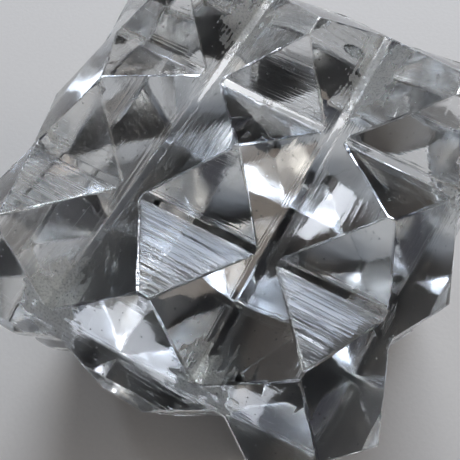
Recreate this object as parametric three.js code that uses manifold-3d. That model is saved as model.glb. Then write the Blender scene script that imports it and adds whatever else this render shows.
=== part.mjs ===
// A block of clear rock crystal, sawn and ground by hand. It is one solid: a cube with its
// twelve edges planed off, and two pairs of crossed V-grooves on each face, which leave a
// three by three field of low four-sided pyramids. It lies on the tips of the pyramids on
// its lower face. Millimetres, +Z up, origin at the bottom centre.
import * as THREE from 'three';
import { mergeVertices } from 'three/addons/utils/BufferGeometryUtils.js';
import Module from 'manifold-3d';

const wasm = await Module();
wasm.setup();

// Distance from the centre of the block to each face, at the tips of its pyramids.
const REACH = { top: 14, bottom: 14, front: 14.22, back: 14.22, right: 13.92, left: 13.92 };

const GROOVE_FLOOR = 0.5; // width of the flat floor that the saw leaves in each groove
const GROOVE_MARK = 12; // grooves are measured this far out from the middle of their face
const OVERCUT = 3; // how far a cutter stands clear of the stone
const CUTTER = 60; // length of a cutter, longer than any cut
const DEGREE = Math.PI / 180;

// Each face: the way it looks, and the two directions in which its grooves are stepped.
const AXIS = {
  x: new THREE.Vector3(1, 0, 0),
  y: new THREE.Vector3(0, 1, 0),
  z: new THREE.Vector3(0, 0, 1),
};
const FACES = {
  top: { normal: AXIS.z, steps: [AXIS.x, AXIS.y] },
  bottom: { normal: AXIS.z.clone().negate(), steps: [AXIS.x, AXIS.y] },
  front: { normal: AXIS.y.clone().negate(), steps: [AXIS.x, AXIS.z] },
  back: { normal: AXIS.y, steps: [AXIS.x, AXIS.z] },
  right: { normal: AXIS.x, steps: [AXIS.y, AXIS.z] },
  left: { normal: AXIS.x.clone().negate(), steps: [AXIS.y, AXIS.z] },
};

// The grooves, as cut by hand. The first pair on a face is stepped along the face's first
// direction and runs along its second, and the second pair the other way round. Each groove
// has its place and its depth at its two marked ends, in mm, from the negative end of its run
// to the positive, and the slopes in degrees of the walls on its negative and positive side.
const groove = (places, depths, slopes) => ({ places, depths, slopes });
const GROOVES = {
  top: [
    [groove([-4.6, -3.9], [2.5, 2.5], [31, 31]), groove([4.2, 3.9], [2.4, 2.6], [35, 28])],
    [groove([-4.6, -4.0], [2.2, 2.2], [24, 29]), groove([4.5, 3.9], [2.3, 2.2], [29, 30])],
  ],
  bottom: [
    [groove([-4.5, -4.4], [2.1, 2.1], [30, 30]), groove([4.5, 4.6], [2.1, 2.2], [30, 30])],
    [groove([-4.6, -4.4], [2.1, 2.2], [30, 30]), groove([4.5, 4.4], [2.1, 2.1], [30, 30])],
  ],
  front: [
    [groove([-4.3, -3.7], [2.1, 0.9], [23, 19]), groove([4.7, 5.9], [2.3, 1.9], [30, 33])],
    [groove([-4.4, -4.7], [2.3, 2.4], [29, 30]), groove([4.5, 4.3], [2.2, 2.4], [31, 29])],
  ],
  back: [
    [groove([-4.3, -4.0], [2.3, 2.3], [30, 29]), groove([4.5, 5.0], [2.4, 2.4], [30, 24])],
    [groove([-4.6, -4.3], [2.2, 2.4], [29, 30]), groove([4.4, 4.7], [2.4, 2.3], [30, 28])],
  ],
  right: [
    [groove([-4.6, -5.0], [2.2, 2.1], [23, 30]), groove([4.2, 3.0], [2.1, 1.7], [25, 28])],
    [groove([-4.5, -4.3], [2.2, 2.4], [30, 29]), groove([4.6, 4.4], [2.3, 2.2], [30, 30])],
  ],
  left: [
    [groove([-4.4, -4.8], [2.3, 2.6], [33, 30]), groove([4.3, 4.1], [2.1, 1.7], [24, 22])],
    [groove([-4.5, -4.4], [2.4, 2.2], [29, 31]), groove([4.3, 4.6], [2.2, 2.4], [30, 29])],
  ],
};

// The planed edges: the two faces that meet there, how far the plane is set back on each of
// them in mm, and how many degrees it leans along the edge.
const EDGES = [
  ['top', 'front', 4.8, 4.8, 1.7],
  ['top', 'right', 4.9, 4.9, -2.8],
  ['top', 'back', 4.9, 4.9, 0.7],
  ['top', 'left', 5.1, 5.2, 0.4],
  ['front', 'right', 4.9, 4.8, 0.5],
  ['right', 'back', 5.0, 5.2, -0.6],
  ['back', 'left', 4.8, 4.8, 0.8],
  ['left', 'front', 5.2, 5.0, -0.4],
  ['bottom', 'front', 4.9, 5.0, 0.6],
  ['bottom', 'right', 4.8, 4.7, -0.5],
  ['bottom', 'back', 4.9, 4.8, 0.4],
  ['bottom', 'left', 5.0, 5.1, -0.7],
];

// Makes a closed three.js geometry into a solid that can be cut.
function solidOf(geometry) {
  const bare = geometry.clone();
  bare.deleteAttribute('normal');
  bare.deleteAttribute('uv');
  const merged = mergeVertices(bare);
  const vertProperties = new Float32Array(merged.attributes.position.array);
  const triVerts = new Uint32Array(merged.index.array);
  return new wasm.Manifold(new wasm.Mesh({ numProp: 3, vertProperties, triVerts }));
}

// Gives a solid back as a flat-shaded three.js geometry.
function geometryOf(solid) {
  const { vertProperties, triVerts } = solid.getMesh();
  const geometry = new THREE.BufferGeometry();
  geometry.setAttribute('position', new THREE.BufferAttribute(vertProperties, 3));
  geometry.setIndex(new THREE.BufferAttribute(triVerts, 1));
  const faceted = geometry.toNonIndexed();
  faceted.computeVertexNormals();
  return faceted;
}

// The sawn block, before any groove or edge is cut.
function makeBlock() {
  const { top, bottom, front, back, right, left } = REACH;
  const box = new THREE.BoxGeometry(left + right, front + back, bottom + top);
  box.translate((right - left) / 2, (back - front) / 2, (top - bottom) / 2);
  return solidOf(box);
}

// The half-space outside one planed edge, as a large box that lies against the plane.
function makeEdgeCutter([firstName, secondName, firstSet, secondSet, lean]) {
  const first = FACES[firstName].normal;
  const second = FACES[secondName].normal;
  const along = first.clone().cross(second);
  const normal = first.clone().multiplyScalar(firstSet).addScaledVector(second, secondSet);
  normal.normalize().addScaledVector(along, Math.tan(lean * DEGREE)).normalize();
  const onPlane = first.clone().multiplyScalar(REACH[firstName]);
  onPlane.addScaledVector(second, REACH[secondName] - firstSet);
  const distance = onPlane.dot(normal);
  const box = new THREE.BoxGeometry(CUTTER, CUTTER, CUTTER);
  box.translate(0, 0, distance + CUTTER / 2);
  box.applyQuaternion(new THREE.Quaternion().setFromUnitVectors(AXIS.z, normal));
  return solidOf(box);
}

// The wheel's V with its narrow floor, drawn with the floor at the origin and the mouth up.
function grooveProfile([lowSlope, highSlope], mouth) {
  const halfFloor = GROOVE_FLOOR / 2;
  return new THREE.Shape([
    new THREE.Vector2(-halfFloor, 0),
    new THREE.Vector2(halfFloor, 0),
    new THREE.Vector2(halfFloor + mouth / Math.tan(highSlope * DEGREE), mouth),
    new THREE.Vector2(-halfFloor - mouth / Math.tan(lowSlope * DEGREE), mouth),
  ]);
}

// One groove's cutter, laid along the line through the two marked ends of its floor.
function makeGrooveCutter(faceName, pair, { places, depths, slopes }) {
  const { normal, steps } = FACES[faceName];
  const step = steps[pair];
  const run = steps[1 - pair];
  const [start, end] = [-GROOVE_MARK, GROOVE_MARK].map((mark, i) =>
    run.clone().multiplyScalar(mark)
      .addScaledVector(step, places[i])
      .addScaledVector(normal, REACH[faceName] - depths[i]));
  const along = end.clone().sub(start).normalize();
  const across = step.clone().projectOnPlane(along).normalize();
  const up = normal.clone().projectOnPlane(along).projectOnPlane(across).normalize();
  const profile = grooveProfile(slopes, Math.max(...depths) + OVERCUT);
  const prism = new THREE.ExtrudeGeometry(profile, { depth: CUTTER, bevelEnabled: false });
  prism.translate(0, 0, -CUTTER / 2);
  prism.applyMatrix4(new THREE.Matrix4().makeBasis(across, up, across.clone().cross(up)));
  const middle = start.clone().add(end).multiplyScalar(0.5);
  prism.translate(middle.x, middle.y, middle.z);
  return solidOf(prism);
}

// The whole crystal, with its lowest tips on z = 0.
function makeCrystal() {
  const grooveCutters = Object.entries(GROOVES).flatMap(([faceName, pairs]) =>
    pairs.flatMap((cuts, pair) => cuts.map((cut) => makeGrooveCutter(faceName, pair, cut))));
  const cutters = [...EDGES.map(makeEdgeCutter), ...grooveCutters];
  const crystal = cutters.reduce((stone, cutter) => stone.subtract(cutter), makeBlock());
  return geometryOf(crystal).translate(0, 0, REACH.bottom);
}

const rockCrystal = new THREE.MeshStandardMaterial({
  color: 0xe4ebf0,
  roughness: 0.06,
  metalness: 0,
});

const part = new THREE.Group();
const crystal = new THREE.Mesh(makeCrystal(), rockCrystal);
crystal.name = 'quartz_crystal';
part.add(crystal);

export default part;
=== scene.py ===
"""A clear rock crystal block, sawn and polished by hand: its worked surface, the flaws sealed in it, and its stage.

The file is laid out as an add-on: one operator for each piece, with a panel that lists them. Lengths are in metres, in
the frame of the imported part: +Z up, the block resting on z = 0 and its front face towards -Y.
"""

import math

import bmesh
import bpy
import numpy as np
from mathutils import Matrix, Vector, noise


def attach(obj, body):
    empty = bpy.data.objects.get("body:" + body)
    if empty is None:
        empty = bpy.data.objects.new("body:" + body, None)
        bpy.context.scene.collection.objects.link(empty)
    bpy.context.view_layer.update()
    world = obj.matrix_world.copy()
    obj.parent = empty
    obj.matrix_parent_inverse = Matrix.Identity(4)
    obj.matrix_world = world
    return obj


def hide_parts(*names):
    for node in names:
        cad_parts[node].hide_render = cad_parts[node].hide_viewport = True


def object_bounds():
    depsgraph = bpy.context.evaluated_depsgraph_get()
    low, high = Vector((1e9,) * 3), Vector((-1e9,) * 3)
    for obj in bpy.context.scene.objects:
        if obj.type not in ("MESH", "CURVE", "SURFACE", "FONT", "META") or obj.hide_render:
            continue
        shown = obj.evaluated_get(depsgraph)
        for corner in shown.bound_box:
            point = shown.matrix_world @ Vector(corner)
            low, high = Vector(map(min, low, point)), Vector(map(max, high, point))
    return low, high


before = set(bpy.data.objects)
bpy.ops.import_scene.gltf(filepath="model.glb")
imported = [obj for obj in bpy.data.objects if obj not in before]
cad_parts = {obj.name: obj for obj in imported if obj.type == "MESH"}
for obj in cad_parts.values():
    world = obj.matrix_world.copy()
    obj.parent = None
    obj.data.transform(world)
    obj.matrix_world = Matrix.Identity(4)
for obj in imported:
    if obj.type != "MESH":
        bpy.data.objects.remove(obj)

bl_info = {
    "name": "Rock crystal block",
    "version": (1, 0, 0),
    "blender": (4, 5, 0),
    "location": "3D View > Sidebar > Crystal",
    "description": "A hand-cut block of clear rock crystal with its sealed flaws, on a pale stage",
    "category": "Object",
}

MM = 0.001
CAD_LOW, CAD_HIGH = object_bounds()
CAD_CENTRE = (CAD_LOW + CAD_HIGH) / 2
BODY = "root"
NODE = "quartz_crystal"

MERGE_GAP = 0.01 * MM
SMALLEST_EDGE = 0.2 * MM
FLOOR_TILT = 8  # degrees, the most that a groove's floor leans
FLOOR_DEPTHS = (0.5 * MM, 4 * MM)
GRID_SHIFT = 0.003 * MM  # keeps the cuts off the block's own corners
CHUNK = 2000  # points worked on at once
FLOOR_SLOPE = 0.12  # a facet steeper than this was ground along its level axis


def linear(code):
    """The linear colour of an sRGB hex value."""
    channels = [int(code[i : i + 2], 16) / 255 for i in (1, 3, 5)]
    return tuple(c / 12.92 if c <= 0.04045 else ((c + 0.055) / 1.055) ** 2.4 for c in channels)


def length(name, description, default, **limits):
    """A length in metres that a user can change."""
    return bpy.props.FloatProperty(
        name=name, description=description, default=default, unit="LENGTH", precision=6, **limits
    )


def colour(name, description, code):
    """A colour that a user can change."""
    return bpy.props.FloatVectorProperty(
        name=name, description=description, default=linear(code), subtype="COLOR", size=3, min=0, max=1
    )


class BlockSettings(bpy.types.PropertyGroup):
    """Sizes and colours of the worked block."""

    ridge_width: length("Ridge width", "Width of the worn strip along each ridge", 0.08 * MM)
    fillet_width: length("Fillet width", "Width of the curve between a groove's floor and its wall", 0.16 * MM)
    dome_height: length("Dome height", "How far the middle of a facet stands above its edges", 0.045 * MM)
    dome_reach: length("Dome reach", "Distance from an edge at which a facet is flat again", 2.2 * MM)
    wave_height: length("Wave height", "Depth of the slow waves that hand polishing leaves", 0.03 * MM)
    wave_length: length("Wave length", "Distance between those waves", 2.2 * MM)
    chip_depth: length("Chip depth", "Depth of the chips along the ridges", 0.09 * MM)
    grid_step: length("Grid step", "Spacing of the cuts that divide the facets", 0.8 * MM)
    body_colour: colour("Body colour", "Colour that light takes on in a long path through the stone", "#E3EAEA")
    frost_colour: colour("Frost colour", "Colour of the unpolished wheel marks beside the grooves", "#F1EFE6")
    # Painted shade: the dark colour painted at the bottoms of the frost's pits and in the specks of deep pits.
    pit_shade_colour: colour("Pit shade colour", "Colour of the shade painted in the deepest pits", "#2E2A26")
    absorption: bpy.props.FloatProperty(
        name="Absorption", description="Density of the body colour, per metre", default=11.0, min=0
    )


class FlawSettings(bpy.types.PropertyGroup):
    """Sizes and colours of what is sealed in the stone."""

    drop_size: length("Drop size", "Width of the largest sealed drops", 0.34 * MM)
    veil_size: length("Veil size", "Width of the drops in the faint veil", 0.045 * MM)
    grain_size: length("Grain size", "Width of the largest mineral grains", 0.2 * MM)
    grain_colour: colour("Grain colour", "Colour of the mineral grains", "#565A3C")
    fibre_colour: colour("Fibre colour", "Colour of the curved fibre", "#8C8676")


class StageSettings(bpy.types.PropertyGroup):
    """Colours of the floor and strength of the lights."""

    floor_colour: colour("Floor colour", "Colour of the pale floor", "#E9E7E3")
    room_colour: colour("Room colour", "Colour of the dim room beyond the lights", "#34343A")
    window_strength: bpy.props.FloatProperty(
        name="Window strength", description="Power of the window light", default=0.54, unit="POWER"
    )
    low_strength: bpy.props.FloatProperty(
        name="Low light strength", description="Power of the lights low round the block", default=0.22, unit="POWER"
    )


def pick(*objects):
    """Selects these objects and nothing else."""
    bpy.ops.object.select_all(action="DESELECT")
    for thing in objects:
        thing.select_set(True)
    bpy.context.view_layer.objects.active = objects[0]


def add_node(tree, kind, inputs=None, **settings):
    """Adds a node with its settings, and fills its inputs with values or links. A node is linked from its first
    output."""
    node = tree.nodes.new(kind)
    for name, value in settings.items():
        setattr(node, name, value)
    for key, value in (inputs or {}).items():
        if isinstance(value, bpy.types.Node):
            value = value.outputs[0]
        if isinstance(value, bpy.types.NodeSocket):
            tree.links.new(value, node.inputs[key])
        else:
            node.inputs[key].default_value = value
    return node


def new_material(name):
    """An empty material with its output and tree."""
    material = bpy.data.materials.new(name)
    material.use_nodes = True
    material.node_tree.nodes.clear()
    return material, material.node_tree


def coordinates(mesh):
    """The mesh's points as an array."""
    points = np.empty(len(mesh.vertices) * 3)
    mesh.vertices.foreach_get("co", points)
    return points.reshape(-1, 3)


def copy_of_node(name, new_name):
    """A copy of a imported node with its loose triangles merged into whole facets."""
    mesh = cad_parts[name].data.copy()
    mesh.materials.clear()
    piece = bpy.data.objects.new(new_name, mesh)
    mesh.name = new_name
    bpy.context.scene.collection.objects.link(piece)
    pick(piece)
    bpy.ops.object.mode_set(mode="EDIT")
    bpy.ops.mesh.select_all(action="SELECT")
    bpy.ops.mesh.customdata_custom_splitnormals_clear()
    bpy.ops.mesh.remove_doubles(threshold=MERGE_GAP)
    bpy.ops.mesh.dissolve_limited(angle_limit=math.radians(1))
    bpy.ops.mesh.select_all(action="SELECT")
    bpy.ops.mesh.dissolve_degenerate(threshold=SMALLEST_EDGE)
    bpy.ops.object.mode_set(mode="OBJECT")
    return piece


def ridge_lines(mesh, edges):
    """The two ends of these edges, as two arrays."""
    points = coordinates(mesh)
    ends = np.array([mesh.edges[index].vertices[:] for index in edges])
    return points[ends[:, 0]], points[ends[:, 1]]


def sort_edges(mesh, least_angle):
    """The numbers of the edges that stand out, and of those that lie in a hollow, above an angle in degrees."""
    shape = bmesh.new()
    shape.from_mesh(mesh)
    sharp = [edge for edge in shape.edges if edge.calc_face_angle() > math.radians(least_angle)]
    ridges = [edge.index for edge in sharp if edge.is_convex]
    hollows = [edge.index for edge in sharp if not edge.is_convex]
    shape.free()
    return ridges, hollows


def groove_floors(mesh):
    """The numbers of the flat facets at the bottom of the grooves, and of the edges round them."""
    facets, found = [], set()
    keys = {tuple(sorted(edge.vertices)): edge.index for edge in mesh.edges}
    for facet in mesh.polygons:
        main = max(range(3), key=lambda axis: abs(facet.normal[axis]))
        face_place = (CAD_HIGH if facet.normal[main] > 0 else CAD_LOW)[main]
        depth = abs(face_place - facet.center[main])
        level = abs(facet.normal[main]) > math.cos(math.radians(FLOOR_TILT))
        if level and FLOOR_DEPTHS[0] < depth < FLOOR_DEPTHS[1]:
            facets.append(facet.index)
            found.update(keys[tuple(sorted(key))] for key in facet.edge_keys)
    return facets, sorted(found)


def round_off(piece, edges, width, segments):
    """Rounds these edges of the piece over a width."""
    mesh = piece.data
    pick(piece)
    bpy.ops.object.mode_set(mode="EDIT")
    bpy.ops.mesh.select_mode(type="EDGE")
    bpy.ops.object.mode_set(mode="OBJECT")
    mesh.edges.foreach_set("select", np.isin(np.arange(len(mesh.edges)), edges))
    bpy.ops.object.mode_set(mode="EDIT")
    bpy.ops.mesh.bevel(offset=width / 2, segments=segments, affect="EDGES", clamp_overlap=False)
    bpy.ops.mesh.select_mode(type="VERT")
    bpy.ops.object.mode_set(mode="OBJECT")


def soft_distance(points, starts, ends, power=4):
    """Distance of each point to these lines: blended, so that it has no crease halfway between two of them, and
    exact."""
    spans = ends - starts
    squares = np.maximum((spans**2).sum(1), 1e-18)
    found = np.empty(len(points))
    nearest = np.empty(len(points))
    for first in range(0, len(points), CHUNK):
        some = points[first : first + CHUNK, None, :] - starts[None]
        along = np.clip((some * spans).sum(2) / squares, 0, 1)
        gaps = np.sqrt(((some - along[..., None] * spans) ** 2).sum(2)) + 1e-9
        found[first : first + CHUNK] = ((gaps / MM) ** -power).sum(1) ** (-1 / power) * MM
        nearest[first : first + CHUNK] = gaps.min(1)
    return found, nearest


def weigh(piece, name, weights):
    """Stores one weight for each point of the piece as a vertex group."""
    group = piece.vertex_groups.new(name=name)
    for index, weight in enumerate(weights):
        if weight > 0.001:
            group.add([index], float(weight), "REPLACE")


def displace(piece, name, strength, group=None, texture=None, middle=0.0):
    """Moves the piece's points along their normals, and applies it."""
    modifier = piece.modifiers.new(name, "DISPLACE")
    modifier.strength = strength
    modifier.mid_level = middle
    modifier.texture = texture
    modifier.texture_coords = "LOCAL"
    if group:
        modifier.vertex_group = group
    pick(piece)
    bpy.ops.object.modifier_apply(modifier=name)


def slice_up(piece, step):
    """Cuts every facet on a grid, so that it can be shaped."""
    pick(piece)
    bpy.ops.object.mode_set(mode="EDIT")
    for axis in range(3):
        normal = Vector((0, 0, 0))
        normal[axis] = 1
        low, high = CAD_LOW[axis], CAD_HIGH[axis]
        count = int((high - low) / step)
        for k in range(1, count):
            place = CAD_CENTRE.copy()
            place[axis] = low + (high - low) * k / count + GRID_SHIFT
            bpy.ops.mesh.select_all(action="SELECT")
            bpy.ops.mesh.bisect(plane_co=place, plane_no=normal, threshold=1e-7)
    bpy.ops.mesh.select_all(action="SELECT")
    bpy.ops.mesh.quads_convert_to_tris(quad_method="BEAUTY", ngon_method="BEAUTY")
    bpy.ops.object.mode_set(mode="OBJECT")


def grinding_runs(mesh):
    """The axis that each facet was ground along: its level one, or the longer one on a groove's flat floor."""
    points = coordinates(mesh)
    runs = []
    for facet in mesh.polygons:
        sizes = [abs(part) for part in facet.normal]
        order = sorted(range(3), key=lambda axis: -sizes[axis])
        if sizes[order[1]] > FLOOR_SLOPE:
            runs.append(order[2])
        else:
            spread = np.ptp(points[list(facet.vertices)], axis=0)
            runs.append(max(order[1:], key=lambda axis: spread[axis]))
    return runs


def map_grinding(mesh):
    """Lays out each facet along and across the way it was ground, in mm, as the UV map that the finish follows."""
    normals = np.empty(len(mesh.polygons) * 3)
    mesh.polygons.foreach_get("normal", normals)
    normals = normals.reshape(-1, 3)
    runs = np.empty(len(mesh.polygons))
    mesh.attributes["run"].data.foreach_get("value", runs)
    along = np.eye(3)[np.clip(np.rint(runs), 0, 2).astype(int)]
    across = np.cross(normals, along)
    # A facet that nearly faces along its own run is laid out by a slanting axis instead.
    facing = np.linalg.norm(across, axis=1) < 0.2
    across[facing] = np.cross(normals, (0.6, 0.6, 0.53))[facing]
    across /= np.linalg.norm(across, axis=1)[:, None]
    along = np.cross(across, normals)
    points = coordinates(mesh)
    owners = np.repeat(np.arange(len(mesh.polygons)), 3)
    corners = np.empty(len(mesh.loops), dtype=int)
    mesh.loops.foreach_get("vertex_index", corners)
    places = points[corners] / MM
    layer = mesh.uv_layers.new(name="grinding")
    u = (places * along[owners]).sum(1)
    v = (places * across[owners]).sum(1)
    layer.data.foreach_set("uv", np.stack([u, v], 1).ravel())


def store(mesh, name, values, domain="POINT"):
    """Stores one number for each point or face of the mesh."""
    mesh.attributes.new(name, "FLOAT", domain).data.foreach_set("value", np.asarray(values, dtype=np.float32))


# Unpolished patches beside the grooves: a point on the block in mm, how far the patch reaches, and how strong it is.
FROST_PATCHES = (
    ((5.6, 9.0, 26.6), 3.4, 1.0),
    ((-4.6, -12.0, 26.4), 3.0, 1.0),
    ((-11.5, -2.6, 26.6), 2.6, 0.7),
    ((-4.9, 8.6, 26.4), 2.8, 0.9),
    ((4.4, -11.5, 26.4), 2.6, 0.8),
    ((11.5, 3.8, 26.6), 1.6, 0.4),
)
END_FROST = 0.55
END_START, END_REACH = 5.5, 5.5  # from the middle of a face, in mm
END_WIDTH, PATCH_WIDTH = 0.8, 1.6  # on each side of a groove's floor, in mm


def frost_amount(points, gaps):
    """How unpolished the block is at each point: most beside the outer ends of the grooves."""
    places = (points - np.array(CAD_CENTRE)) / MM
    outward = np.sort(np.abs(places), axis=1)[:, 1]
    ends = np.clip((outward - END_START) / END_REACH, 0, 1) * np.clip(1.2 - gaps / (END_WIDTH * MM), 0, 1)
    amount = END_FROST * ends
    for place, reach, strength in FROST_PATCHES:
        away = np.linalg.norm(points / MM - np.array(place), axis=1)
        patch = strength * np.clip(1.4 - away / reach, 0, 1) * np.clip(1.5 - gaps / (PATCH_WIDTH * MM), 0, 1)
        amount = np.maximum(amount, patch)
    return amount


# The noise that grinding lines are drawn with: lines to a mm across the grinding and along it, how much detail they
# carry, and their turn in radians. Real lines are finer: these are as coarse as they need to be to show.
GRINDING_LINES = {
    "broad": (2.2, 0.12, 1.0, 0.0),
    "medium": (5.2, 0.2, 0.0, 0.03),
    "fine": (11.0, 0.25, 0.0, -0.04),
    "wheel lines": (7.0, 0.03, 0.0, 0.0),
    "scratch lines": (0.9, 0.06, 0.0, 0.22),
}

# How the finish is worked out, step by step: the step's name, what it does, and the steps and numbers it takes.
# SMOOTHSTEP goes from 0 at its second value to 1 at its third.
FINISH_STEPS = (
    # Single specks, a few mm apart, where a deep pit was left; each is painted dark as the shade of its pit.
    # They are drawn about 0.1 mm wide, wider than real ones, so that they show.
    ("speck core", "SMOOTHSTEP", "speck distance", 0.1, 0.055),
    ("speck kept", "SMOOTHSTEP", "speck chance", 0.72, 0.76),
    ("speck", "MULTIPLY", "speck core", "speck kept"),
    # Stray scratches, slightly across the grinding.
    ("scratch side", "SUBTRACT", "scratch lines", 0.53),
    ("scratch gap", "ABSOLUTE", "scratch side"),
    ("scratch core", "SMOOTHSTEP", "scratch gap", 0.0022, 0.0008),
    ("scratch kept", "SMOOTHSTEP", "medium", 0.45, 0.7),
    ("scratch", "MULTIPLY", "scratch core", "scratch kept"),
    # The unpolished strips break up along the grinding lines, so they fade out in streaks.
    ("blotched", "MULTIPLY_ADD", "blotches", 1.3, -0.9),
    ("streaked", "MULTIPLY_ADD", "medium", 0.5, "blotched"),
    ("ragged", "ADD", "frost", "streaked"),
    ("frost edge", "SMOOTHSTEP", "frost", 0.02, 0.35),
    ("frost level", "MULTIPLY", "ragged", "frost edge"),
    ("frosted", "SMOOTHSTEP", "frost level", 0.3, 0.85),
    # The lines are drawn weaker on the sides and the underside, so that they don't break up what shows through.
    ("low down", "SMOOTHSTEP", "height", 0.022, 0.015),
    ("evenness", "MULTIPLY_ADD", "low down", -0.75, 1.0),
    ("facet lines", "SMOOTHSTEP", "facet", 0.62, 1.1),
    ("facet strength", "MULTIPLY", "facet lines", "evenness"),
    ("strength", "MULTIPLY_ADD", "facet strength", 1.7, 0.13),
    # Single deep lines with polished ground between them.
    ("deep lines", "SMOOTHSTEP", "fine", 0.55, 0.68),
    ("cuts", "MULTIPLY", "deep lines", "strength"),
    # The wheel's own lines on the walls beside a groove's floor.
    ("wheel core", "SMOOTHSTEP", "wheel lines", 0.4, 0.6),
    ("near floor", "SMOOTHSTEP", "floor_gap", 0.7, 0.3),
    ("wheel marks", "MULTIPLY", "wheel core", "near floor"),
    ("wall", "SUBTRACT", 1.0, "floor"),
    ("wheel", "MULTIPLY", "wheel marks", "wall"),
    # How far the surface stands up, in parts of BUMP_DEPTH.
    ("relief broad", "MULTIPLY", "broad", 0.9),
    ("relief medium", "MULTIPLY_ADD", "medium", 0.55, "relief broad"),
    ("relief fine", "MULTIPLY_ADD", "fine", 0.22, "relief medium"),
    ("relief lines", "MULTIPLY", "relief fine", "strength"),
    ("relief cuts", "MULTIPLY_ADD", "cuts", 0.3, "relief lines"),
    ("relief wheel", "MULTIPLY_ADD", "wheel", 0.45, "relief cuts"),
    ("frost pits", "MULTIPLY", "pits", "frosted"),
    ("relief", "MULTIPLY_ADD", "frost pits", 2.2, "relief wheel"),
    # How rough it is. The sides and the underside are a little rougher, which softens what shows through them.
    ("rough facet", "MULTIPLY_ADD", "facet", 0.05, 0.035),
    ("rough low", "MULTIPLY_ADD", "low down", 0.08, "rough facet"),
    ("streak lines", "SMOOTHSTEP", "fine", 0.52, 0.68),
    ("streak facets", "SMOOTHSTEP", "facet", 0.55, 1.0),
    ("streak cover", "MULTIPLY", "streak lines", "streak facets"),
    ("streaks", "MULTIPLY", "streak cover", "evenness"),
    ("rough streaks", "MULTIPLY_ADD", "streaks", 0.2, "rough low"),
    ("rough frost", "MULTIPLY_ADD", "frosted", 0.45, "rough streaks"),
    ("marks", "MAXIMUM", "speck", "scratch"),
    ("roughness", "MULTIPLY_ADD", "marks", 0.25, "rough frost"),
    # Where the frost is pale, and where shade is painted: darker in the hollows of its pits, darkest at the pit bottoms
    # and in the specks.
    ("pale grain", "SMOOTHSTEP", "pits", 0.43, 0.55),
    ("pit bottoms", "SMOOTHSTEP", "pits", 0.44, 0.3),
    ("frost pit shade", "MULTIPLY", "pit bottoms", "frosted"),
    ("faint pit shade", "MULTIPLY", "frost pit shade", 0.35),
    ("speck pit shade", "MULTIPLY", "speck", 0.8),
    ("pit shade", "MAXIMUM", "speck pit shade", "faint pit shade"),
)
PIT_SCALE, BLOTCH_SCALE, SPECK_SCALE = 8.0, 1.6, 1.5  # to a mm
BUMP_DEPTH = 0.01 * MM
# How dark the frost is painted in the hollows of its pits: painted shade.
HOLLOW_SHADE = 0.75
QUARTZ_IOR = 1.544


def polished_quartz(settings):
    """Colourless quartz, ground on a wheel and polished by hand: clear and glassy, with fine parallel lines, unpolished
    grey strips where the wheel ran out, and pits whose shade is painted dark in their hollows and as specks. The lines
    make the facets shimmer."""
    material, tree = new_material("rock crystal, hand polished")
    flat = add_node(tree, "ShaderNodeUVMap", uv_map="grinding")
    solid = add_node(tree, "ShaderNodeTexCoord").outputs["Object"]
    specks = add_node(
        tree, "ShaderNodeTexVoronoi", {"Vector": flat, "Scale": SPECK_SCALE}, voronoi_dimensions="2D"
    )
    parts = {
        "height": add_node(tree, "ShaderNodeSeparateXYZ", {0: solid}).outputs[2],
        "speck distance": specks.outputs["Distance"],
        "speck chance": add_node(tree, "ShaderNodeSeparateColor", {0: specks.outputs["Color"]}),
    }
    for name in ("facet", "frost", "floor_gap", "floor"):
        parts[name] = add_node(tree, "ShaderNodeAttribute", attribute_name=name).outputs["Fac"]
    # Pits under 0.1 mm wide make the unpolished strips sparkle grey, partly by painted shade in their hollows, and
    # blotches break up their outline.
    for name, scale in (("pits", PIT_SCALE), ("blotches", BLOTCH_SCALE)):
        parts[name] = add_node(
            tree, "ShaderNodeTexNoise", {"Vector": solid, "Scale": scale / MM, "Detail": 1.0}
        )
    for name, (across, along, detail, turn) in GRINDING_LINES.items():
        place = add_node(
            tree, "ShaderNodeMapping", {"Vector": flat, "Rotation": (0, 0, turn), "Scale": (along, across, 1.0)}
        )
        parts[name] = add_node(
            tree, "ShaderNodeTexNoise", {"Vector": place, "Scale": 1.0, "Detail": detail}, noise_dimensions="2D"
        )
    for name, operation, *values in FINISH_STEPS:
        inputs = {key: parts.get(value, value) for key, value in enumerate(values)}
        if operation == "SMOOTHSTEP":
            parts[name] = add_node(tree, "ShaderNodeMapRange", inputs, interpolation_type=operation)
        else:
            parts[name] = add_node(tree, "ShaderNodeMath", inputs, operation=operation)
    # The frost's own pale colour, and the same colour darkened in the hollows of its pits as painted shade.
    pale = (*settings.frost_colour, 1)
    hollow = (*(part * HOLLOW_SHADE for part in settings.frost_colour), 1)
    grain = add_node(
        tree, "ShaderNodeMix", {0: parts["pale grain"], 6: hollow, 7: pale}, data_type="RGBA"
    ).outputs[2]
    clear = add_node(
        tree, "ShaderNodeMix", {0: parts["frosted"], 6: (1, 1, 1, 1), 7: grain}, data_type="RGBA"
    ).outputs[2]
    # Painted shade: the bottoms of the frost's pits and the specks are darkened towards a dark colour.
    tone = add_node(
        tree, "ShaderNodeMix", {0: parts["pit shade"], 6: clear, 7: (*settings.pit_shade_colour, 1)}, data_type="RGBA"
    ).outputs[2]
    shaped = add_node(
        tree, "ShaderNodeBump", {"Height": parts["relief"], "Distance": BUMP_DEPTH, "Strength": 1.0}
    )
    shader = add_node(
        tree,
        "ShaderNodeBsdfPrincipled",
        {
            "Base Color": tone,
            "Roughness": parts["roughness"],
            "IOR": QUARTZ_IOR,
            "Transmission Weight": 1.0,
            "Normal": shaped,
        },
    )
    absorption = add_node(
        tree,
        "ShaderNodeVolumeAbsorption",
        {"Color": (*settings.body_colour, 1), "Density": settings.absorption},
    )
    add_node(tree, "ShaderNodeOutputMaterial", {"Surface": shader, "Volume": absorption})
    return material


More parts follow.
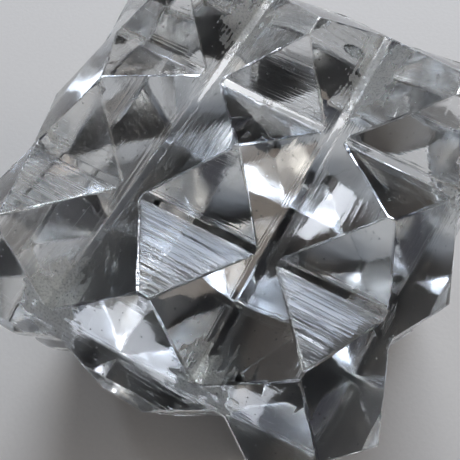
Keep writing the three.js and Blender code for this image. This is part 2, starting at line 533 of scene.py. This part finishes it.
SHARP_ANGLE, RIDGE_ANGLE, SMOOTH_ANGLE = 5, 14, 6  # degrees
LIFT_HEIGHT = 1.5 * MM  # the shaping fades out below this, so that the block still rests on z = 0
WEAR_LENGTH, CHIP_REACH = 0.9 * MM, 0.2 * MM
FRONT_ROW = -4 * MM
FILLET_STEPS, RIDGE_STEPS = 3, 2


class CRYSTAL_OT_block(bpy.types.Operator):
    """Works the crystal block's surface: worn ridges, domed facets, chips and polishing lines"""

    bl_idname = "crystal.block"
    bl_label = "Rock crystal block"

    def execute(self, context):
        settings = context.scene.crystal_block
        block = copy_of_node(NODE, "rock_crystal_block")
        mesh = block.data
        ridges, hollows = sort_edges(mesh, SHARP_ANGLE)
        lines = ridge_lines(mesh, sorted(ridges + hollows))
        ridge_ends = ridge_lines(mesh, sorted(ridges))
        floors, floor_edges = groove_floors(mesh)
        floor_lines = ridge_lines(mesh, floor_edges)
        chances = np.random.default_rng(7).random(len(mesh.polygons))
        for facet in mesh.polygons:
            # The front row's back slopes kept the strongest grinding lines.
            back_slope = facet.normal.y > 0.35 and facet.normal.z > 0.8
            if back_slope and facet.center.y < FRONT_ROW:
                chances[facet.index] = 1.0
        chances[floors] = 0.0
        store(mesh, "facet", chances, "FACE")
        store(mesh, "run", grinding_runs(mesh), "FACE")
        store(mesh, "floor", np.isin(np.arange(len(mesh.polygons)), floors), "FACE")
        round_off(block, hollows, settings.fillet_width, FILLET_STEPS)
        ridges, hollows = sort_edges(mesh, RIDGE_ANGLE)
        round_off(block, ridges, settings.ridge_width, RIDGE_STEPS)
        slice_up(block, settings.grid_step)
        mesh = block.data
        map_grinding(mesh)
        points = coordinates(mesh)
        soft = soft_distance(points, *lines)[0]
        floor_gap = soft_distance(points, *floor_lines)[1]
        ridge_gap = soft_distance(points, *ridge_ends)[1]
        store(mesh, "floor_gap", floor_gap / MM)
        store(mesh, "frost", frost_amount(points, floor_gap))
        share = np.clip(soft / settings.dome_reach, 0, 1)
        lifted = np.clip(points[:, 2] / LIFT_HEIGHT, 0, 1)
        weigh(block, "dome", (1 - (1 - share) ** 2) * lifted)
        weigh(block, "lifted", lifted)
        worn = np.array([noise.noise(Vector(p) / WEAR_LENGTH) for p in points])
        chipped = np.clip(worn - 0.2, 0, 1) * 3.0 * np.clip(1 - ridge_gap / CHIP_REACH, 0, 1) * lifted
        weigh(block, "ridge", np.clip(chipped, 0, 1))
        displace(block, "chips", -settings.chip_depth, group="ridge")
        displace(block, "dome", settings.dome_height, group="dome")
        waves = bpy.data.textures.new("polishing waves", "CLOUDS")
        waves.noise_scale = settings.wave_length
        waves.noise_depth = 0
        displace(block, "waves", settings.wave_height, group="lifted", texture=waves, middle=0.5)
        block.vertex_groups.clear()
        bpy.ops.object.shade_smooth_by_angle(angle=math.radians(SMOOTH_ANGLE))
        block.data.materials.append(polished_quartz(settings))
        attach(block, BODY)
        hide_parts(NODE)
        return {"FINISHED"}


# What is sealed in the stone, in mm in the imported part's frame: a place and a size beside the largest of its kind.
DROPS = (((-9.3, -6.6, 25.2), 1.0), ((-3.9, -6.8, 24.6), 0.8), ((-5.4, -8.6, 24.7), 0.65), ((3.4, 6.4, 24.6), 0.5))
GRAINS = (((9.0, -6.3, 25.4), 1.0), ((9.5, -6.1, 25.2), 0.6), ((8.5, -6.6, 25.1), 0.45), ((-5.0, -8.3, 25.0), 0.5))
CRACK = (2.2, 10.0, 25.0)
FIBRE = ((1.6, 5.2, 25.0), (2.0, 5.5, 25.1), (2.4, 5.1, 25.1), (2.3, 4.6, 25.0))
VEIL_CENTRE = (-1.6, -3.2, 21.5)
LOOSE_DROPS = 26
LOOSE_LOW, LOOSE_HIGH = (-9.5, -9.5, 3.0), (9.5, 9.5, 23.5)
VEIL_DROPS = 110
CRACK_WIDTH = 1.5
FIBRE_RADIUS = 0.018
CLOUD_SCALE, MOTTLE_SCALE = 9.0, 14.0  # noise grains to a mm
CLOUD_DEPTH, MOTTLE_DEPTH = 0.004 * MM, 0.006 * MM
# Not a real fluid's. A real drop bends light less than the stone round it, which would take a value below 1, and the
# shader has none. This one makes the drops show.
DROP_IOR = 1.6


def rounded_body(place, size, squash, turn, seed, detail=2, dent=0.08):
    """A rounded body of a width: a ball that is dented, squashed and turned in its place."""
    bpy.ops.mesh.primitive_ico_sphere_add(subdivisions=detail, radius=0.5, location=(0, 0, 0))
    ball = bpy.context.active_object
    bpy.ops.object.mode_set(mode="EDIT")
    bpy.ops.mesh.select_all(action="SELECT")
    bpy.ops.transform.vertex_random(offset=dent, uniform=0.3, normal=0.7, seed=seed)
    bpy.ops.mesh.normals_make_consistent(inside=False)
    bpy.ops.object.mode_set(mode="OBJECT")
    ball.scale = [size * part for part in squash]
    ball.rotation_euler = turn
    ball.location = place
    return ball


def seal_in(name, bodies, material):
    """Joins these bodies as one piece sealed in the stone."""
    pick(*bodies)
    if len(bodies) > 1:
        bpy.ops.object.join()
    bpy.ops.object.transform_apply(location=True, rotation=True, scale=True)
    bpy.ops.object.shade_smooth()
    piece = bpy.context.active_object
    piece.name = name
    piece.data.name = name
    piece.data.materials.clear()
    piece.data.materials.append(material)
    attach(piece, BODY)


def sealed_drop(name, light, dark, roughness):
    """Fluid caught as the stone grew. Clear drops catch the light as bright dots with a dark rim."""
    material, tree = new_material(name)
    solid = add_node(tree, "ShaderNodeTexCoord").outputs["Object"]
    cloud = add_node(tree, "ShaderNodeTexNoise", {"Vector": solid, "Scale": CLOUD_SCALE / MM, "Detail": 2.0})
    mask = add_node(tree, "ShaderNodeMapRange", {0: cloud, 1: 0.4, 2: 0.7}, interpolation_type="SMOOTHSTEP")
    tone = add_node(tree, "ShaderNodeMix", {0: mask, 6: (*light, 1), 7: (*dark, 1)}, data_type="RGBA").outputs[2]
    rough = add_node(tree, "ShaderNodeMath", {0: cloud, 1: 0.1, 2: roughness}, operation="MULTIPLY_ADD")
    shaped = add_node(tree, "ShaderNodeBump", {"Height": cloud, "Distance": CLOUD_DEPTH, "Strength": 1.0})
    shader = add_node(
        tree,
        "ShaderNodeBsdfPrincipled",
        {"Base Color": tone, "Roughness": rough, "IOR": DROP_IOR, "Transmission Weight": 1.0, "Normal": shaped},
    )
    add_node(tree, "ShaderNodeOutputMaterial", {"Surface": shader})
    return material


def grown_mineral(name, code, shade):
    """A grain or fibre of another mineral. It is dull and mottled, and shows as a small dark fleck."""
    material, tree = new_material(name)
    solid = add_node(tree, "ShaderNodeTexCoord").outputs["Object"]
    mottle = add_node(tree, "ShaderNodeTexNoise", {"Vector": solid, "Scale": MOTTLE_SCALE / MM, "Detail": 3.0})
    mask = add_node(tree, "ShaderNodeMapRange", {0: mottle, 1: 0.35, 2: 0.65}, interpolation_type="SMOOTHSTEP")
    dark = tuple(part * shade for part in code)
    tone = add_node(tree, "ShaderNodeMix", {0: mask, 6: (*code, 1), 7: (*dark, 1)}, data_type="RGBA").outputs[2]
    rough = add_node(tree, "ShaderNodeMath", {0: mottle, 1: 0.3, 2: 0.35}, operation="MULTIPLY_ADD")
    shaped = add_node(tree, "ShaderNodeBump", {"Height": mottle, "Distance": MOTTLE_DEPTH, "Strength": 1.0})
    shader = add_node(tree, "ShaderNodeBsdfPrincipled", {"Base Color": tone, "Roughness": rough, "Normal": shaped})
    add_node(tree, "ShaderNodeOutputMaterial", {"Surface": shader})
    return material


class CRYSTAL_OT_flaws(bpy.types.Operator):
    """Seals drops, a faint veil, mineral grains, a fibre and a healed crack in the stone"""

    bl_idname = "crystal.flaws"
    bl_label = "Sealed flaws"

    def execute(self, context):
        settings = context.scene.crystal_flaws
        chance = np.random.default_rng(11)
        clear, smoky = linear("#F2F6F6"), linear("#8E9190")
        placed = [(np.array(place), size) for place, size in DROPS]
        for _ in range(LOOSE_DROPS):
            place = chance.uniform(LOOSE_LOW, LOOSE_HIGH)
            placed.append((place, chance.uniform(0.15, 0.45)))
        drops = []
        for number, (place, size) in enumerate(placed):
            squash, turn = chance.uniform(0.55, 1.0, 3), chance.uniform(0, 3, 3)
            drops.append(rounded_body(place * MM, size * settings.drop_size, squash, turn, number))
        seal_in("sealed_drops", drops, sealed_drop("sealed drops", clear, smoky, 0.02))
        veil = []
        for number in range(VEIL_DROPS):
            across, up = chance.normal(0, 1.5), chance.normal(0, 0.9)
            sag = 0.12 * across**2
            place = np.array(VEIL_CENTRE) + (across, 0.8 * up + sag, 0.6 * up - 0.2 * across)
            size = chance.uniform(0.4, 1.0) * settings.veil_size
            veil.append(rounded_body(place * MM, size, (1, 0.8, 0.6), chance.uniform(0, 3, 3), number, 1, 0.05))
        seal_in("faint_veil", veil, sealed_drop("faint veil of drops", clear, smoky, 0.1))
        grains = []
        for number, (place, size) in enumerate(GRAINS):
            squash, turn = chance.uniform(0.5, 1.0, 3), chance.uniform(0, 3, 3)
            place = np.array(place) * MM
            grains.append(rounded_body(place, size * settings.grain_size, squash, turn, number, 2, 0.15))
        seal_in("mineral_grains", grains, grown_mineral("mineral grains", settings.grain_colour, 0.35))
        crack = rounded_body(
            Vector(CRACK) * MM, CRACK_WIDTH * MM, (1.0, 0.5, 0.012), (0.9, 0.4, 0.3), 5, 4, 0.05
        )
        seal_in("healed_crack", [crack], sealed_drop("healed crack", clear, smoky, 0.12))
        bpy.ops.curve.primitive_bezier_curve_add(location=(0, 0, 0))
        fibre = bpy.context.active_object
        spline = fibre.data.splines[0]
        spline.bezier_points.add(len(FIBRE) - len(spline.bezier_points))
        for point, place in zip(spline.bezier_points, FIBRE):
            point.co = Vector(place) * MM
            point.handle_left_type = point.handle_right_type = "AUTO"
        fibre.data.bevel_depth = FIBRE_RADIUS * MM
        fibre.data.bevel_resolution = 3
        fibre.data.use_fill_caps = True
        pick(fibre)
        bpy.ops.object.convert(target="MESH")
        seal_in("curved_fibre", [bpy.context.active_object], grown_mineral("pale fibre", settings.fibre_colour, 0.6))
        return {"FINISHED"}


def pale_paper(settings):
    """Matt pale card, pressed smooth. It gives an even, slightly warm ground with a faint tooth."""
    material, tree = new_material("pale card")
    solid = add_node(tree, "ShaderNodeTexCoord").outputs["Object"]
    tooth = add_node(tree, "ShaderNodeTexNoise", {"Vector": solid, "Scale": TOOTH_SCALE / MM, "Detail": 3.0})
    shaped = add_node(tree, "ShaderNodeBump", {"Height": tooth, "Distance": TOOTH_DEPTH, "Strength": 1.0})
    shade = tuple(part * 0.94 for part in settings.floor_colour)
    tone = add_node(
        tree, "ShaderNodeMix", {0: tooth, 6: (*settings.floor_colour, 1), 7: (*shade, 1)}, data_type="RGBA"
    ).outputs[2]
    shader = add_node(tree, "ShaderNodeBsdfPrincipled", {"Base Color": tone, "Roughness": 0.8, "Normal": shaped})
    add_node(tree, "ShaderNodeOutputMaterial", {"Surface": shader})
    return material


# The lights: name, width and height in metres, azimuth and elevation in degrees, distance in metres, power in watts as
# a share of one of the stage's two strengths, and tint. Azimuth 0 is behind the block and 90 to its right.
LIGHTS = (
    ("window", (0.12, 0.09), (-20, 50, 0.33), "window_strength", 0.65, "#F8F9FB"),
    ("top card", (0.14, 0.14), (110, 72, 0.32), "window_strength", 0.2, "#FFF8F0"),
    ("back light", (0.17, 0.05), (-11, 27.5, 0.28), "low_strength", 1.3, "#D3E0F5"),
    ("back strip", (0.15, 0.01), (-13, 33.5, 0.28), "low_strength", 0.6, "#EEF4FF"),
    ("left light", (0.045, 0.03), (-64, 28, 0.28), "low_strength", 0.3, "#EEF4FF"),
    ("front light", (0.12, 0.035), (190, 4.5, 0.28), "low_strength", 0.5, "#EEF4FF"),
    ("side card", (0.09, 0.09), (66, 31, 0.28), "window_strength", 0.14, "#FFF1E4"),
)
LIGHT_AIM_RISE = 0.01  # lights circle a point this far above the block's middle
FLOOR_SIZE = 4.0
TOOTH_SCALE, TOOTH_DEPTH = 2.5, 0.02 * MM
CAMERA_PLACE = (0.008427, -0.012714, 0.055067)
CAMERA_RIGHT = (0.8675, 0.495, -0.04911)
CAMERA_DOWN = (0.44864, -0.82123, -0.35258)
CAMERA_AHEAD = (-0.21485, 0.28383, -0.93449)
SENSOR_WIDTH = 36  # mm
LENS = SENSOR_WIDTH * 580 / 460  # mm: a focal length of 580 for a view 460 wide
NEAR, FAR = 0.001, 10
BOUNCES, GLOSSY_BOUNCES = 12, 10


def softbox(name, size, place, target, power, tint):
    """A soft rectangular light that faces a point."""
    lamp = bpy.data.lights.new(name, "AREA")
    lamp.shape = "RECTANGLE"
    lamp.size, lamp.size_y = size
    lamp.energy = power
    lamp.color = linear(tint)
    light = bpy.data.objects.new(name, lamp)
    bpy.context.scene.collection.objects.link(light)
    light.location = place
    light.rotation_euler = (Vector(target) - Vector(place)).to_track_quat("-Z", "Y").to_euler()
    light.visible_camera = False


def around(azimuth, elevation, away):
    """A place round the block, at a distance in metres."""
    turn, rise = math.radians(azimuth), math.radians(elevation)
    aim = Vector((math.sin(turn) * math.cos(rise), math.cos(turn) * math.cos(rise), math.sin(rise)))
    return tuple(CAD_CENTRE + Vector((0, 0, LIGHT_AIM_RISE)) + aim * away)


class CRYSTAL_OT_stage(bpy.types.Operator):
    """Sets up the pale floor, the soft lights and the camera"""

    bl_idname = "crystal.stage"
    bl_label = "Stage"

    def execute(self, context):
        settings = context.scene.crystal_stage
        bpy.ops.object.select_all(action="DESELECT")
        bpy.ops.mesh.primitive_plane_add(size=FLOOR_SIZE, location=(0, 0, 0))
        floor = context.active_object
        floor.name = "floor"
        floor.data.materials.append(pale_paper(settings))
        world = bpy.data.worlds.new("dim room")
        context.scene.world = world
        world.use_nodes = True
        tree = world.node_tree
        tree.nodes.clear()
        room = add_node(tree, "ShaderNodeBackground", {"Color": (*settings.room_colour, 1), "Strength": 1.0})
        add_node(tree, "ShaderNodeOutputWorld", {"Surface": room})
        for name, size, place, strength, share, tint in LIGHTS:
            softbox(name, size, around(*place), CAD_CENTRE, getattr(settings, strength) * share, tint)
        camera = bpy.data.objects.new("camera", bpy.data.cameras.new("camera"))
        context.scene.collection.objects.link(camera)
        turn = Matrix((Vector(CAMERA_RIGHT), -Vector(CAMERA_DOWN), -Vector(CAMERA_AHEAD))).transposed().to_4x4()
        camera.matrix_world = Matrix.Translation(CAMERA_PLACE) @ turn
        camera.data.sensor_width = SENSOR_WIDTH
        camera.data.lens = LENS
        camera.data.clip_start = NEAR
        camera.data.clip_end = FAR
        context.scene.camera = camera
        context.scene.view_settings.view_transform = "Standard"
        context.scene.cycles.caustics_refractive = False
        context.scene.cycles.caustics_reflective = False
        context.scene.cycles.transmission_bounces = BOUNCES
        context.scene.cycles.max_bounces = BOUNCES
        context.scene.cycles.glossy_bounces = GLOSSY_BOUNCES
        return {"FINISHED"}


class CRYSTAL_PT_panel(bpy.types.Panel):
    """Lists the pieces of the crystal"""

    bl_label = "Rock crystal block"
    bl_idname = "CRYSTAL_PT_panel"
    bl_space_type = "VIEW_3D"
    bl_region_type = "UI"
    bl_category = "Crystal"

    def draw(self, context):
        for step in STEPS:
            self.layout.operator(step.bl_idname)
        for settings in (context.scene.crystal_block, context.scene.crystal_flaws, context.scene.crystal_stage):
            for name in settings.bl_rna.properties.keys():
                if name not in ("rna_type", "name"):
                    self.layout.prop(settings, name)


STEPS = (CRYSTAL_OT_block, CRYSTAL_OT_flaws, CRYSTAL_OT_stage)
CLASSES = (BlockSettings, FlawSettings, StageSettings, *STEPS, CRYSTAL_PT_panel)


def register():
    for kind in CLASSES:
        bpy.utils.register_class(kind)
    bpy.types.Scene.crystal_block = bpy.props.PointerProperty(type=BlockSettings)
    bpy.types.Scene.crystal_flaws = bpy.props.PointerProperty(type=FlawSettings)
    bpy.types.Scene.crystal_stage = bpy.props.PointerProperty(type=StageSettings)


def unregister():
    del bpy.types.Scene.crystal_stage
    del bpy.types.Scene.crystal_flaws
    del bpy.types.Scene.crystal_block
    for kind in reversed(CLASSES):
        bpy.utils.unregister_class(kind)


def main():
    """Makes every piece in order."""
    register()
    bpy.ops.crystal.block()
    bpy.ops.crystal.flaws()
    bpy.ops.crystal.stage()
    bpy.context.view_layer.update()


if __name__ == "__main__":
    main()
